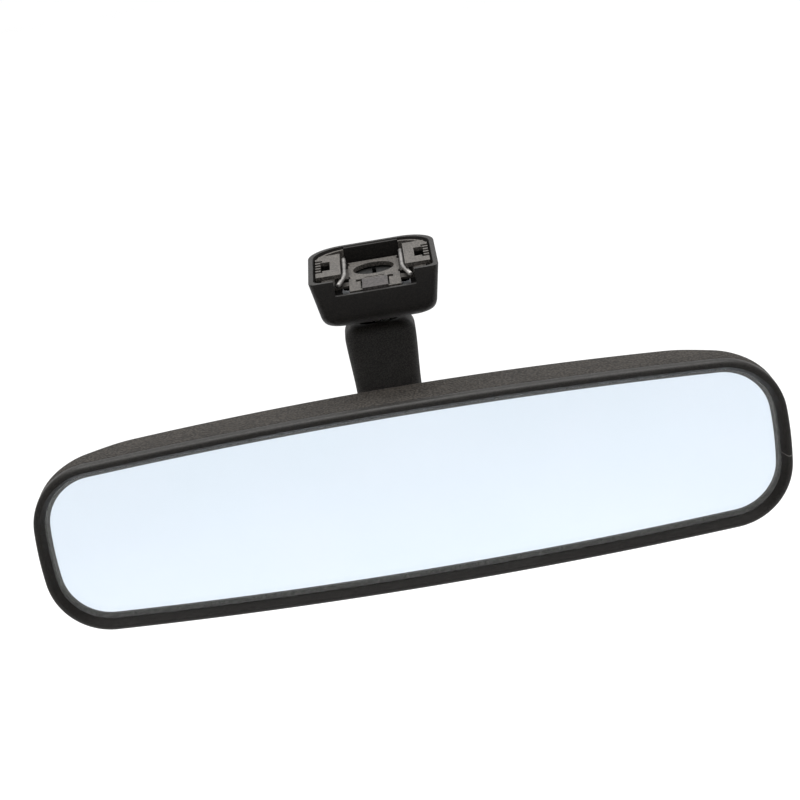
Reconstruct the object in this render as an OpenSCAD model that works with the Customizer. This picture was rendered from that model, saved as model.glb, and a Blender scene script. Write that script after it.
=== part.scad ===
// Interior rearview mirror: mirror head on a two-ball arm under a clip-on windshield base.
// Origin: centre of the locating hole, on the base's inner floor. +Z up, the glass faces -Y, X along the glass.

/* [Head] */
// Width of the head over the trim
head_w = 252; // [235:1:270]
// Height of the head over the trim, at the middle
head_h = 65.6; // [60:0.2:72]
// Rise of the long edges between their ends and the middle
edge_rise = 4.5; // [3:0.1:6]
// Radius of the four corners
corner_r = 21.7; // [20:0.1:24]
// Radius of the short end edges
end_r = 126; // [100:1:150]
// Sideways offset of the head from the ball axis
head_dx = 1.4; // [-3:0.1:3]
// Depth of the head at the middle, from the trim's front to the housing's back
head_depth = 32; // [31:0.5:34]
// Loss of depth from the middle to the ends
depth_drop = 8; // [5:0.5:9]
// Depth at which the housing's straight wall ends, at the middle
wall_depth = 19.5; // [18:0.5:20]
// Thickness of the housing's wall
shell_t = 1.9; // [1.6:0.1:2.1]

/* [Glass] */
// Thickness of the glass
glass_t = 3; // [2.5:0.1:3]
// Width of the trim in front of the glass
trim_w = 3.66; // [3.4:0.02:4]
// Recess of the glass behind the trim's front
glass_y = 2.72; // [2.5:0.02:3]

/* [Arm] */
// Drop from the base's inner floor to the middle of the head
head_drop = 64; // [62:1:68]
// Distance from the hole axis forward to the trim's front
head_reach = 58.3; // [57:0.1:60]
// Half width of the arm under the base
arm_top_hw = 12.4; // [12:0.1:12.6]
// Half width of the arm at its waist
arm_waist_hw = 11.3; // [11:0.1:11.6]
// Half thickness of the arm at the top
arm_top_ht = 9; // [8.8:0.1:9.4]
// Half thickness of the arm at the bottom
arm_low_ht = 6.6; // [6.5:0.1:7]
// Sideways offset of the arm's covers from the ball axis
arm_dx = -1.4; // [-1.6:0.1:1.6]
// Wall of the arm's covers
cover_t = 1.6; // [1.4:0.1:1.7]

/* [Base] */
// Width of the base at the rim
base_w = 44; // [43.8:0.1:46]
// Distance from the hole axis to the front wall
base_front = 28.8; // [28.7:0.1:30]
// Distance from the hole axis to the back wall
base_back = 16.2; // [16:0.1:18]
// Height of the rim above the inner floor
rim_z = 5.3; // [5:0.1:6]
// Height of the base
base_h = 17.6; // [17.5:0.1:17.8]
// Wall of the base
base_t = 1.6; // [1.4:0.1:1.8]
// Radius of the locating hole in the inner floor
locating_r = 7.1; // [6.8:0.1:7.2]
// Half width of the notch in the front wall
notch_hw = 13.7; // [13:0.1:14.2]

/* [Ball joints] */
// Radius of the upper ball
upper_r = 5.5; // [5.4:0.05:5.55]
// Radius of the lower ball
lower_r = 7; // [6.9:0.05:7.05]
// Thickness of the ball liners
liner_t = 0.75; // [0.7:0.05:0.8]
// Running clearance of the balls, liners and cups
run = 0.05; // [0.03:0.01:0.08]

/* [Hidden] */

half_w = head_w / 2;
top_r = (half_w * half_w + edge_rise * edge_rise) / (2 * edge_rise);
top_cz = head_h / 2 - top_r;
end_cx = half_w - end_r;
n_top = 5;
n_corner = 8;
n_end = 3;

upper_z = rim_z - 16.8;
lower_y = -head_reach + 24;
base_low = rim_z - base_h;
base_floor = base_low + 2.4;
seat_r = upper_r + run + liner_t + run;
boss_r = 7.2;
dish_r = 8.4;
arm_top = rim_z - 23.4;
arm_bend_end = -60;
arm_low_y = -head_reach + 40 + arm_low_ht;
core_ht = 2.4;
cover_screw_zs = [-42, -55];

plate_in = 11;
plate_out = 19.6;
plate_top = rim_z - 0.8;
plate_t = 1.4;
socket_screws = [[-9.6, -7.6], [-9.6, 7.6], [9.6, -7.6], [9.6, 7.6]];
wire_r = 0.8;
wire_z = 2.1;
bend_n = 5;

trim_back = 4.24;
glass_back = glass_y + glass_t;
pad_front = glass_back + 0.2;
carrier_y = pad_front + 0.8;
carrier_t = 1.6;
glass_inset = 3;
ball_y = 24;
head_seat_r = lower_r + run + liner_t + run;
post_xs = [-72, 72];
post_z = 13;

trim_black = [0.17, 0.165, 0.16];
shell_black = [0.22, 0.215, 0.205];
insert_grey = [0.34, 0.32, 0.30];
steel = [0.62, 0.62, 0.63];
zinc = [0.55, 0.56, 0.58];
acetal = [0.88, 0.87, 0.82];
dark_acetal = [0.14, 0.14, 0.14];

// ---- shared functions ----

function smooth(t) = let (c = min(max(t, 0), 1)) c * c * (3 - 2 * c);
function mix(a, b, t) = a + (b - a) * t;
function reversed(v) = [for (i = [len(v) - 1 : -1 : 0]) v[i]];

// Triangles of a wall between two neighbouring rings of n points.
function wall(i, n) = [for (k = [0 : n - 1]) let (a = i * n + k, b = i * n + (k + 1) % n)
    each [[a, a + n, b], [b, a + n, b + n]]];

// Solid through rings of points, closed by flat ends.
module loft(rings) {
    n = len(rings[0]);
    m = len(rings);
    first = [for (k = [0 : n - 1]) k];
    last = [for (k = [n - 1 : -1 : 0]) (m - 1) * n + k];
    polyhedron(points = [for (r = rings) each r],
        faces = concat([first], [for (i = [0 : m - 2]) each wall(i, n)], [last]));
}

// Endless solid through rings of points: the last ring joins the first.
module ring_loft(rings) {
    n = len(rings[0]);
    m = len(rings);
    faces = [for (i = [0 : m - 1]) for (k = [0 : n - 1])
        let (j = (i + 1) % m, l = (k + 1) % n)
        each [[i * n + k, j * n + k, i * n + l], [i * n + l, j * n + k, j * n + l]]];
    polyhedron(points = [for (r = rings) each r], faces = faces);
}

// Path with each corner replaced by a curve that starts and ends at the distance cut from it.
function rounded(path, cut) = concat(
    [path[0]],
    [for (i = [1 : len(path) - 2]) let (
        p = path[i],
        a = p + cut * (path[i - 1] - p) / norm(path[i - 1] - p),
        b = p + cut * (path[i + 1] - p) / norm(path[i + 1] - p))
        for (k = [0 : bend_n]) let (t = k / bend_n) mix(mix(a, p, t), mix(p, b, t), t)],
    [path[len(path) - 1]]);

function tangent(p, i) = let (d = p[min(i + 1, len(p) - 1)] - p[max(i - 1, 0)]) d / norm(d);

// Side vectors along a path, each turned no more than the path turns.
function sides(p, i = 0, side = [0, 0, 1]) = i == len(p) ? [] : let (
    t = tangent(p, i),
    s = side - (side * t) * t,
    u = s / norm(s))
    concat([u], sides(p, i + 1, u));

// Round wire along a path.
module wire(path, r) {
    us = sides(path);
    loft([for (i = [0 : len(path) - 1]) let (u = us[i], v = cross(tangent(path, i), u))
        [for (a = [0 : 36 : 324]) path[i] + r * (cos(a) * u + sin(a) * v)]]);
}

// Places a shape drawn about +Z so that its +Z becomes +Y.
module facing_back() rotate([-90, 0, 0]) children();

module on_head() translate([head_dx, -head_reach, -head_drop]) children();
module at_head_ball() translate([-head_dx, ball_y, 0]) children();
module at_upper_ball() translate([0, 0, upper_z]) children();
module at_lower_ball() translate([0, lower_y, -head_drop]) children();
module both_sides() {
    children();
    mirror([1, 0, 0]) children();
}

// ---- head outline ----

function corner_centre() = let (
    d1 = top_r - corner_r,
    d2 = end_r - corner_r,
    span = norm([end_cx, top_cz]),
    a = (d1 * d1 - d2 * d2 + span * span) / (2 * span),
    h = sqrt(d1 * d1 - a * a),
    u = [end_cx, -top_cz] / span)
    [a * u.x + h * u.y, top_cz + a * u.y - h * u.x];

function arc(c, r, a0, a1, n, first = 1) =
    [for (i = [first : n]) let (a = mix(a0, a1, i / n)) c + r * [cos(a), sin(a)]];

// Quarter of the outline, from the top middle to the right end, drawn in by inset.
function quarter(inset) = let (
    f = corner_centre(),
    t = [0, top_cz],
    e = [end_cx, 0],
    a1 = atan2(f.y - t.y, f.x - t.x),
    a2 = atan2(f.y - e.y, f.x - e.x))
    concat(
        arc(t, top_r - inset, 90, a1, n_top, 0),
        arc(f, corner_r - inset, a1, a2, n_corner),
        arc(e, end_r - inset, a2, 0, n_end));

quarter_n = n_top + n_corner + n_end;
loop_n = 4 * quarter_n;

// Whole outline, clockwise as seen from the front, from the top middle.
function head_outline(inset) = let (q = quarter(inset)) concat(
    q,
    [for (i = [quarter_n - 1 : -1 : 0]) [q[i].x, -q[i].y]],
    [for (i = [1 : quarter_n]) [-q[i].x, -q[i].y]],
    [for (i = [quarter_n - 1 : -1 : 1]) [-q[i].x, q[i].y]]);

function ring(inset, y) = [for (p = head_outline(inset)) [p.x, y, p.y]];

// Plate with the head's outline, from y0 to y1.
module head_plate(inset, y0, y1)
    translate([0, y1, 0]) rotate([90, 0, 0]) linear_extrude(y1 - y0) polygon(head_outline(inset));

// ---- head housing ----

// Domed vessel: t draws the surface inward, so the same functions give the outside and the inside.
// Towards both ends the whole dome grows shallower by end_fall.
function end_fall(x) = (wall_depth - 12) * smooth((abs(x) - 90) / 28);
function dome_start(x) = wall_depth - 3.5 * pow(x / half_w, 2) - end_fall(x);
function dome_end(x, t) = head_depth - depth_drop * pow(x / half_w, 2) - end_fall(x) - t;
function dome_y(x, c, t) = mix(dome_start(x), dome_end(x, t), sqrt(1 - c * c));
dome_inset = 20;
dome_half = head_h / 2;
dome_edge = 1 - dome_inset / dome_half;
dome_angles = [0, 16, 31, 45, 57, acos(dome_edge)];

function dome_ring(angle, t) = let (c = cos(angle), inset = dome_half * (1 - c) + t + 0.2)
    [for (p = head_outline(min(inset, dome_inset + t))) [p.x, dome_y(p.x, c, t), p.y]];

// Rows across the middle of the dome, from the top edge of the last ring to its bottom edge.
row_steps = [0.6, 0.2, -0.2, -0.6];
function dome_row(step, t) = let (q = quarter(min(dome_inset + t, corner_r - 1)), xm = q[quarter_n].x)
    [for (i = [-quarter_n + 1 : quarter_n - 1]) let (
        p = q[abs(i)],
        f = pow(step, 4),
        g = pow(p.x / xm, 8),
        c = dome_edge * pow(f + g - f * g, 0.25))
        [sign(i) * p.x, dome_y(p.x, c, t), step * p.y]];

function dome_vessel_rings(t) =
    concat([ring(0.2 + t, trim_back + 0.46)], [for (a = dome_angles) dome_ring(a, t)]);

// Faces that close the last ring of a vessel: base is the ring's first index, rows follow from index r0.
function cap_faces(base, r0) = let (
    q = quarter_n,
    w = 2 * q - 1,
    rows = len(row_steps),
    top = [for (i = [-q + 1 : q - 1]) base + (i + loop_n) % loop_n],
    low = [for (i = [-q + 1 : q - 1]) base + (2 * q - i + loop_n) % loop_n],
    grid = concat([top], [for (r = [0 : rows - 1]) [for (i = [0 : w - 1]) r0 + r * w + i]], [low]),
    right = base + q,
    left = base + 3 * q)
    concat(
        [for (r = [0 : rows]) for (i = [0 : w - 2])
            each [[grid[r][i], grid[r + 1][i], grid[r][i + 1]],
                  [grid[r][i + 1], grid[r + 1][i], grid[r + 1][i + 1]]]],
        [for (r = [0 : rows]) [grid[r][w - 1], grid[r + 1][w - 1], right]],
        [for (r = [0 : rows]) [grid[r + 1][0], grid[r][0], left]]);

function flipped(faces) = [for (f = faces) reversed(f)];
function shifted(faces, by) = [for (f = faces) [for (i = f) i + by]];

module dome_vessel(t) {
    rings = dome_vessel_rings(t);
    m = len(rings);
    rows = [for (s = row_steps) each dome_row(s, t)];
    front = [[for (k = [0 : loop_n - 1]) k]];
    walls = [for (i = [0 : m - 2]) each wall(i, loop_n)];
    polyhedron(points = concat([for (r = rings) each r], rows),
        faces = concat(front, walls, cap_faces((m - 1) * loop_n, m * loop_n)));
}

module head_housing() {
    color(shell_black) on_head() difference() {
        union() {
            difference() {
                dome_vessel(0);
                translate([0, -0.01, 0]) dome_vessel(shell_t);
            }
            for (x = post_xs, z = [-post_z, post_z])
                translate([x, carrier_y + carrier_t + 0.1, z]) facing_back() cylinder(h = 19, r = 3, $fn = 32);
            at_head_ball() for (x = [-18, 18], z = [-8, 8])
                translate([x, 4.1, z]) facing_back() cylinder(h = 2.9, r = 3, $fn = 32);
        }
        at_head_ball() translate([0, -6, 0]) facing_back() cylinder(h = 16, r = 11.2, $fn = 64);
        for (x = post_xs, z = [-post_z, post_z])
            translate([x, carrier_y, z]) facing_back() cylinder(h = 12, r = 1.2, $fn = 24);
        at_head_ball() for (x = [-18, 18], z = [-8, 8])
            translate([x, 4, z]) facing_back() cylinder(h = 2.4, r = 1.2, $fn = 24);
    }
}

module housing_collar() {
    color(trim_black) on_head() at_head_ball() facing_back() difference() {
        translate([0, 0, 5.7]) cylinder(h = 3.5, r = 11.1, $fn = 64);
        translate([0, 0, 5]) cylinder(h = 3, r = 8.5, $fn = 64);
        translate([0, 0, 7.4]) cylinder(h = 1.81, r1 = 8.5, r2 = 9.6, $fn = 64);
    }
}

// ---- trim and glass ----

trim_edge_r = 2;
function trim_section() = concat(
    [[0, trim_back]],
    [for (a = [0 : 18 : 90]) [trim_edge_r * (1 - cos(a)), trim_edge_r * (1 - sin(a))]],
    [[trim_w, glass_y - 0.1], [trim_w, glass_y], [2.8, glass_y], [2.8, carrier_y + carrier_t],
     [2.2, carrier_y + carrier_t], [2.2, trim_back]]);

module bezel_trim() {
    color(trim_black) on_head() ring_loft([for (p = reversed(trim_section())) ring(p.x, p.y)]);
}

module mirror_glass() {
    color([0.92, 0.96, 1.0]) on_head() head_plate(glass_inset, glass_y, glass_back);
}

module silver_coating() {
    color([0.85, 0.87, 0.9]) on_head() head_plate(glass_inset, glass_back, pad_front);
}

module backing_pad() {
    color([0.12, 0.12, 0.12]) on_head() head_plate(glass_inset + 1.5, pad_front, carrier_y);
}

module glass_carrier() {
    color([0.25, 0.25, 0.25]) on_head() difference() {
        union() {
            head_plate(glass_inset, carrier_y, carrier_y + carrier_t);
            for (z = [-17, 17]) translate([-95, carrier_y + carrier_t, z - 0.7]) cube([190, 2, 1.4]);
        }
        for (x = [-100 : 25 : 100]) if (abs(abs(x) - 75) > 1)
            translate([x - 9, carrier_y - 1, -11]) cube([18, 4, 22]);
        for (x = post_xs, z = [-post_z, post_z]) translate([x, carrier_y - 1, z]) facing_back() {
            cylinder(h = 4, r = 1.6, $fn = 24);
            cylinder(h = 1.9, r = 3, $fn = 32);
        }
    }
}

module carrier_screws() {
    color(steel) on_head() for (x = post_xs, z = [-post_z, post_z]) translate([x, carrier_y, z])
        facing_back() difference() {
            union() {
                translate([0, 0, 0.05]) cylinder(h = 0.85, r = 2.8, $fn = 32);
                cylinder(h = 9, r = 1.15, $fn = 24);
            }
            for (a = [0, 90]) rotate([0, 0, a]) translate([-1.3, -0.25, -0.1]) cube([2.6, 0.5, 0.7]);
        }
}

// ---- head ball joint ----

// The shapes in this section are drawn about the ball centre with +Z towards the arm.

module head_socket() {
    color(zinc) on_head() at_head_ball() facing_back() difference() {
        union() {
            translate([0, 0, -14.8]) cylinder(h = 20.3, r = 10.4, $fn = 64);
            translate([-23, -11.5, 1.8]) cube([46, 23, 2.2]);
        }
        translate([0, 0, -15]) cylinder(h = 15, r = 8.7, $fn = 64);
        sphere(head_seat_r, $fn = 64);
        translate([0, 0, 4]) cylinder(h = 1.6, r1 = 5.9, r2 = 7, $fn = 64);
        for (x = [-18, 18], y = [-8, 8]) translate([x, y, 1]) cylinder(h = 4, r = 1.6, $fn = 24);
    }
}

module head_socket_screws() {
    color(steel) on_head() at_head_ball() facing_back() for (x = [-18, 18], y = [-8, 8])
        translate([x, y, 0]) difference() {
            union() {
                translate([0, 0, 0.1]) cylinder(h = 1.7, r = 2.9, $fn = 32);
                cylinder(h = 6, r = 1.15, $fn = 24);
            }
            for (a = [0, 90]) rotate([0, 0, a]) translate([-1.4, -0.3, -0.1]) cube([2.8, 0.6, 1.1]);
        }
}

// Liner around a ball of radius r, open below and above the given heights.
module liner(r, low, high) {
    difference() {
        sphere(r + run + liner_t, $fn = 64);
        sphere(r + run, $fn = 64);
        translate([0, 0, high]) cylinder(h = 2 * r, r = 2 * r, $fn = 32);
        translate([0, 0, low - 2 * r]) cylinder(h = 2 * r, r = 2 * r, $fn = 32);
    }
}

module head_ball_liner() {
    color(acetal) at_lower_ball() facing_back() liner(lower_r, -5.4, 4.7);
}

module head_pressure_cup() {
    color(acetal) at_lower_ball() facing_back() difference() {
        translate([0, 0, -9.4]) cylinder(h = 7.4, r = 8.65, $fn = 64);
        sphere(head_seat_r, $fn = 64);
        translate([0, 0, -10]) cylinder(h = 4, r = 2.5, $fn = 32);
    }
}

spring_turns = 2.4;
spring_steps = 16;
module pressure_spring() {
    low = -12.4;
    high = -10.05;
    steps = spring_turns * spring_steps;
    rings = [for (i = [0 : steps]) let (
        a = 360 * i / spring_steps,
        z = mix(low, high, i / steps))
        [for (b = [0 : 60 : 300]) let (r = 6.2 + 0.5 * cos(b)) [r * cos(a), r * sin(a), z + 0.45 * sin(b)]]];
    color(steel) on_head() at_head_ball() facing_back() loft([for (r = rings) reversed(r)]);
}

module spring_cap() {
    color(zinc) on_head() at_head_ball() facing_back() difference() {
        translate([0, 0, -14.7]) cylinder(h = 1.7, r = 8.65, $fn = 64);
        translate([0, 0, -15]) cylinder(h = 3, r = 3, $fn = 6);
    }
}

// ---- arm ----

function arm_s(z) = smooth((arm_top - z) / (arm_top - arm_bend_end));
function arm_y(z) = arm_low_y * arm_s(z);
function arm_ht(z) = mix(arm_top_ht, arm_low_ht, arm_s(z));
function arm_hw(z) = let (
    neck = mix(arm_top_hw, arm_waist_hw, smooth((arm_top - 3 - z) / 22)),
    low = mix(neck, 11.5, smooth((-46 - z) / 16)))
    low;

// Rounded-rectangle section of half sizes w and t, with corner radius c.
section_n = 5;
function arm_section(z, w, t, c) = let (r = min(c, w - 0.2, t - 0.2))
    [for (k = [[1, 1, 0], [-1, 1, 90], [-1, -1, 180], [1, -1, 270]]) for (i = [0 : section_n])
        let (a = k.z + 90 * i / section_n)
        [arm_dx + k.x * (w - r) + r * cos(a), arm_y(z) + k.y * (t - r) + r * sin(a), z]];

// Body of the arm, drawn in by inset.
arm_round = 5;
module arm_body(inset) {
    low_z = -head_drop;
    rings = concat(
        [for (a = [90, 65, 40, 18]) let (
            z = arm_top - arm_round * (1 - sin(a)),
            cut = arm_round * (1 - cos(a)))
            arm_section(z - inset, arm_hw(z) - cut - inset, arm_ht(z) - 0.6 * cut - inset, 4.5 - inset)],
        [for (z = [arm_top - arm_round : -6 : low_z + 1])
            arm_section(z - inset, arm_hw(z) - inset, arm_ht(z) - inset, 4.5 - inset)],
        [for (a = [0, 20, 38, 54, 68, 80]) let (
            w = (arm_hw(low_z) - inset) * cos(a),
            z = low_z - (arm_hw(low_z) - inset) * sin(a))
            arm_section(z, w, arm_ht(low_z) - inset - 2.4 * (1 - cos(a)), 4.5 - inset)]);
    loft([for (r = rings) reversed(r)]);
}

// Everything in front of the parting line (side = -1) or behind it (side = 1).
module parting(side, gap = 0) {
    line = [for (z = [arm_top + 5 : -4 : -82]) [arm_y(z) + 2 + side * gap, z]];
    rotate([90, 0, 90]) translate([0, 0, -20]) linear_extrude(40)
        polygon(concat(line, [[side * 60, -82], [side * 60, arm_top + 5]]));
}

module arm_shell(side) {
    difference() {
        intersection() {
            difference() {
                arm_body(0);
                arm_body(cover_t);
            }
            parting(side, 0.05);
        }
        at_upper_ball() sphere(dish_r, $fn = 64);
        at_upper_ball() translate([0, 0, -13]) cylinder(h = 8, r = 3.6, $fn = 48);
        at_lower_ball() facing_back() cylinder(h = 20, r = 3.6, $fn = 48);
    }
}

module arm_front_cover() {
    color(shell_black) difference() {
        union() {
            arm_shell(-1);
            intersection() {
                dish_cap();
                parting(-1, 0.05);
            }
            for (z = cover_screw_zs) let (y = arm_y(z), front = y - arm_ht(z) + 1)
                translate([0, front, z]) facing_back() cylinder(h = y - core_ht - 1.4 - front, r = 2.6, $fn = 32);
        }
        for (z = cover_screw_zs) let (y = arm_y(z))
            translate([0, y - arm_ht(z) + 2.2, z]) facing_back() cylinder(h = 12, r = 1.2, $fn = 24);
    }
}

module arm_rear_cover() {
    color(shell_black) difference() {
        union() {
            arm_shell(1);
            intersection() {
                dish_cap();
                parting(1, 0.05);
            }
        }
        for (z = cover_screw_zs) let (y = arm_y(z) + arm_ht(z)) translate([0, y - 4, z]) facing_back() {
            cylinder(h = 8, r = 1.7, $fn = 24);
            translate([0, 0, 3.1]) cylinder(h = 4, r = 3.1, $fn = 32);
        }
    }
}

// Bowl-shaped wall of the covers around the upper ball socket.
module dish_cap() {
    difference() {
        intersection() {
            arm_body(0.4);
            at_upper_ball() sphere(dish_r + 1.3, $fn = 64);
        }
        at_upper_ball() sphere(dish_r, $fn = 64);
        at_upper_ball() translate([0, 0, -13]) cylinder(h = 8, r = 3.6, $fn = 48);
    }
}

module arm_core() {
    zs = [for (z = [-26 : -4 : -72]) z];
    color(zinc) difference() {
        union() {
            rotate([90, 0, 90]) translate([0, 0, -5]) linear_extrude(10) polygon(concat(
                [for (z = zs) [arm_y(z) - core_ht, z]],
                [for (z = reversed(zs)) [arm_y(z) + core_ht, z]]));
            translate([-5, -4.5, -29.8]) cube([10, 8.7, 6.5]);
        }
        translate([0, 0, -32]) cylinder(h = 9, r = 2.5, $fn = 32);
        for (z = cover_screw_zs) translate([0, arm_y(z) - 6, z]) facing_back() cylinder(h = 12, r = 1.7, $fn = 24);
        translate([0, -30, -head_drop]) facing_back() cylinder(h = 30, r = 2.5, $fn = 32);
    }
}

module arm_cover_screws() {
    color([0.2, 0.2, 0.21]) for (z = cover_screw_zs) let (rear = arm_y(z) + arm_ht(z))
        translate([0, rear, z]) facing_back() difference() {
            union() {
                translate([0, 0, -0.85]) cylinder(h = 1.2, r = 2.7, $fn = 32);
                translate([0, 0, -11]) cylinder(h = 11, r = 1.15, $fn = 24);
            }
            for (a = [0, 90]) rotate([0, 0, a]) translate([-1.4, -0.3, -0.4]) cube([2.8, 0.6, 1.2]);
        }
}

module upper_ball_stud() {
    color(steel) at_upper_ball() difference() {
        union() {
            sphere(upper_r, $fn = 64);
            translate([0, 0, -11]) cylinder(h = 8, r = 2.9, $fn = 48);
            translate([0, 0, -11.75]) cylinder(h = 1.5, r = 4.6, $fn = 48);
            translate([0, 0, -19.5]) cylinder(h = 9, r = 2.48, $fn = 48);
        }
        for (a = [45, 135]) rotate([0, 0, a]) translate([-1.9, -0.4, 3.4]) cube([3.8, 0.8, 3]);
    }
}

module lower_ball_stud() {
    core_front = arm_y(-head_drop) - core_ht - lower_y;
    color(steel) at_lower_ball() facing_back() {
        sphere(lower_r, $fn = 64);
        translate([0, 0, 4]) cylinder(h = core_front - 4.5, r = 3.2, $fn = 48);
        translate([0, 0, core_front - 1.6]) cylinder(h = 1.55, r = 4.8, $fn = 48);
        translate([0, 0, core_front - 1]) cylinder(h = 2 * core_ht + 3, r = 2.48, $fn = 48);
    }
}

module stud_nut() {
    color(steel) translate([0, arm_y(-head_drop) + core_ht + 0.05, -head_drop]) facing_back() difference() {
        cylinder(h = 2, r = 4.4, $fn = 6);
        translate([0, 0, -1]) cylinder(h = 4, r = 2.5, $fn = 32);
    }
}

// ---- base ball joint ----

module base_ball_liner() {
    color(acetal) at_upper_ball() liner(upper_r, -3.2, -0.6);
}

module base_pressure_cup() {
    color(dark_acetal) at_upper_ball() difference() {
        translate([0, 0, 0.9]) cylinder(h = 5.5, r = 6.9, $fn = 64);
        sphere(upper_r + run, $fn = 64);
        translate([0, 0, 3]) cylinder(h = 6, r = 2.6, $fn = 32);
    }
}

module spring_washer() {
    color(steel) difference() {
        rotate_extrude($fn = 64) polygon([[3.1, upper_z + 6.45], [3.1, upper_z + 7], [7.9, -1.75], [7.9, -2.3]]);
        for (a = [0 : 60 : 300]) rotate([0, 0, a + 30]) translate([4.6, -0.7, -5]) cube([2.6, 1.4, 6]);
    }
}

module base_socket() {
    color(zinc) at_upper_ball() difference() {
        union() {
            translate([0, 0, -3.7]) cylinder(h = 6, r = boss_r, $fn = 64);
            translate([0, 0, 1.7]) cylinder(h = 3.6, r = 8.6, $fn = 64);
            translate([-12, -9.6, 1.65]) cube([24, 19.2, 1.6]);
        }
        translate([0, 0, 0.3]) cylinder(h = 8, r = 6.95, $fn = 64);
        sphere(seat_r, $fn = 64);
        translate([0, 0, -4]) cylinder(h = 3, r = 5.1, $fn = 64);
        for (p = socket_screws) translate([p.x, p.y, 1]) cylinder(h = 3, r = 1.3, $fn = 24);
    }
}

module base_socket_screws() {
    color(steel) at_upper_ball() for (p = socket_screws) translate([p.x, p.y, 3.25])
        difference() {
            union() {
                translate([0, 0, 0.02]) cylinder(h = 1.3, r = 2.1, $fn = 32);
                translate([0, 0, -3.2]) cylinder(h = 4, r = 0.95, $fn = 24);
            }
            for (a = [0, 90]) rotate([0, 0, a]) translate([-1.1, -0.25, 0.7]) cube([2.2, 0.5, 1]);
        }
}

// ---- base ----

// Plan outline of the base, drawn in by inset: nearly square at the front, well rounded at the back.
function base_plan(inset) = let (
    w = base_w / 2 - inset,
    f = -base_front + inset,
    b = base_back - inset,
    rf = 2.5 + 0.3 * inset,
    rb = 12 - 0.5 * inset)
    concat(
        arc([w - rb, b - rb], rb, 90, 0, 7, 0),
        arc([w - rf, f + rf], rf, 0, -90, 4, 0),
        arc([rf - w, f + rf], rf, -90, -180, 4, 0),
        arc([rb - w, b - rb], rb, 180, 90, 7, 0));

// Height below the rim and inset of each level of the outside.
base_levels = [[0, 0], [13, 2.2], [15, 2.9], [16.4, 4], [17.3, 5.6], [base_h, 7.2]];

// The same for the inside, from just above the rim down to the floor.
cavity_levels = [[-1, base_t - 0.15], [13, base_t + 2.2], [rim_z - base_floor, base_t + 3.5]];

module base_cover() {
    color(shell_black) difference() {
        union() {
            difference() {
                loft([for (l = base_levels) [for (p = base_plan(l[1])) [p.x, p.y, rim_z - l[0]]]]);
                loft([for (l = cavity_levels) [for (p = base_plan(l[1])) [p.x, p.y, rim_z - l[0]]]]);
            }
            intersection() {
                linear_extrude(rim_z - 0.4) polygon(base_plan(1));
                translate([-9.5, base_back - 3, 0]) cube([19, 5, 10]);
            }
            for (x = [-15.5, 15.5], y = [-13, 7]) translate([x, y, base_floor - 1])
                cylinder(h = -1.55 - base_floor + 1, r = 1.8, $fn = 32);
        }
        translate([-notch_hw, -base_front - 1, rim_z - 5.5]) cube([2 * notch_hw, 6, 10]);
        translate([0, 0, base_low - 1]) cylinder(h = 6, r = boss_r + 0.1, $fn = 64);
        at_upper_ball() for (p = socket_screws) translate([p.x, p.y, 0]) cylinder(h = 3, r = 1, $fn = 24);
    }
}

module base_insert() {
    color(insert_grey) difference() {
        union() {
            translate([-8.8, -24.9, -1.5]) cube([17.6, 35.7, 1.5]);
            translate([-18.6, -15.5, -1.5]) cube([37.2, 21.5, 0.8]);
            both_sides() {
                insert_plate();
                translate([12, -15.5, -0.8]) cube([1.4, 23.5, 4.2]);
            }
            intersection() {
                translate([0, 0, 1]) linear_extrude(plate_top - 1) difference() {
                    polygon(base_plan(base_t + 0.9));
                    polygon(base_plan(base_t + 1.9));
                }
                both_sides() translate([9.6, 4, 0]) cube([20, 20, 10]);
            }
        }
        translate([0, 0, -2]) cylinder(h = 3, r = locating_r, $fn = 64);
        translate([-4.9, -23.3, -2]) cube([9.8, 11.4, 3]);
        both_sides() translate([4.8, -14.4, -2]) cube([1.6, 2.6, 3]);
        translate([-3.4, -10.9, -0.6]) cube([6.8, 0.7, 1]);
        both_sides() translate([10.5, -8.5, -2]) cylinder(h = 3, r = 2.3, $fn = 32);
        both_sides() translate([10.5, 8.5, -2]) cylinder(h = 3, r = 2.3, $fn = 32);
    }
}

// One of the two raised plates beside the channel, with its window and comb.
module insert_plate() {
    difference() {
        union() {
            translate([plate_in, -17.8, plate_top - plate_t]) cube([plate_out - plate_in, 26.4, plate_t]);
            translate([17.9, -17, plate_top - plate_t - 1]) cube([1.2, 25, 1.5]);
        }
        translate([14.6, -10.3, 0]) cube([3.2, 10.6, 10]);
        for (y = [-12.2 : 3.3 : 1.5]) translate([17.2, y, plate_top - plate_t - 0.4]) cube([5, 1.9, 10]);
        translate([18.4, 5.5, 0]) cube([5, 5, 10]);
    }
}

// Leaf that hooks over the front bar of the inner floor and springs in the slot behind it.
module latch_tongue() {
    color([0.40, 0.38, 0.36]) rotate([90, 0, 90]) translate([0, 0, -4.4]) linear_extrude(8.8) polygon([
        [-25.7, -2.4], [-25.7, 0.75], [-22.6, 0.75], [-20.6, -0.1], [-12.3, 0.1], [-12.3, -0.6],
        [-20.7, -0.8], [-22.9, 0.05], [-25, 0.05], [-25, -1.65], [-19, -1.65], [-19, -2.4]
    ]);
}

module retaining_wire() {
    half = [[12.3, -23.4, wire_z], [10.1, -12.6, wire_z], [10, 9.6, wire_z], [10, 12, -2.4]];
    color(steel) wire(rounded(concat(half, [for (p = reversed(half)) [-p.x, p.y, p.z]]), 1.8), wire_r);
}

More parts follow.
